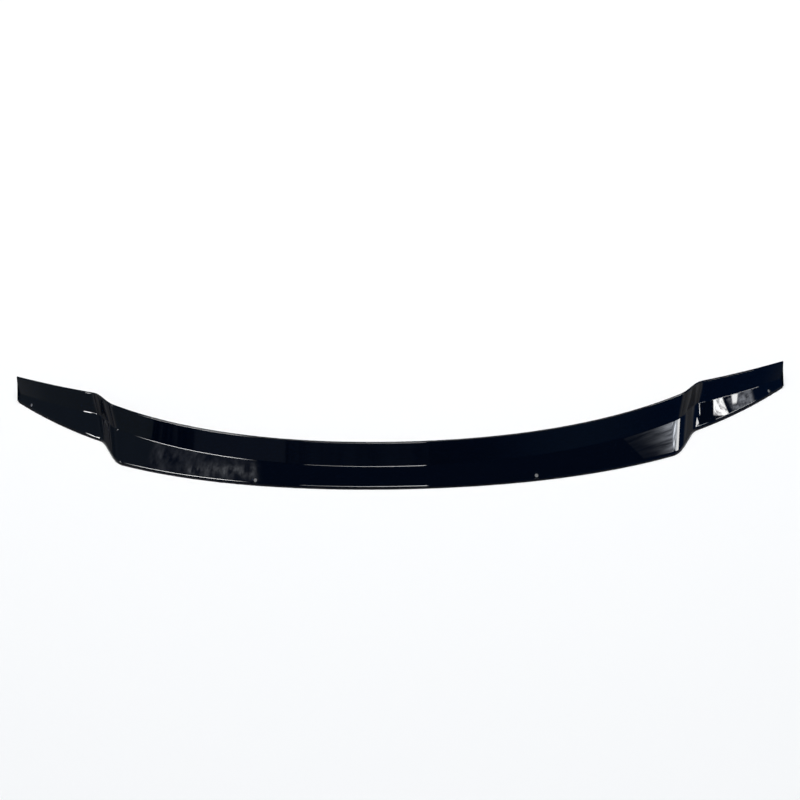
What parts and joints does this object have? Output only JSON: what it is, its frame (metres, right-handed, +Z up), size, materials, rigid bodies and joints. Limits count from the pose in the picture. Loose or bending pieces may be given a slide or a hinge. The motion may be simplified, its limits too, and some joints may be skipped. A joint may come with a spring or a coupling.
{
  "type": "hood bug deflector",
  "caption": "Long bowed sheet of glossy dark acrylic with a lengthwise crease and stepped-back wings, screwed along a hood's front edge to lift air and insects over the windscreen.",
  "frame": {"origin": "centre of the bounding box in plan, in the level plane that the lower edge stands on", "axes": "+X across the car to its left side, towards the right wing as seen from the front, +Y back towards the windscreen, +Z up"},
  "size_m": [1.4, 0.2434, 0.0646],
  "materials": {
    "shield": "high gloss"
  },
  "bodies": {
    "root": {"shield": "shield"}
  },
  "joints": []
}
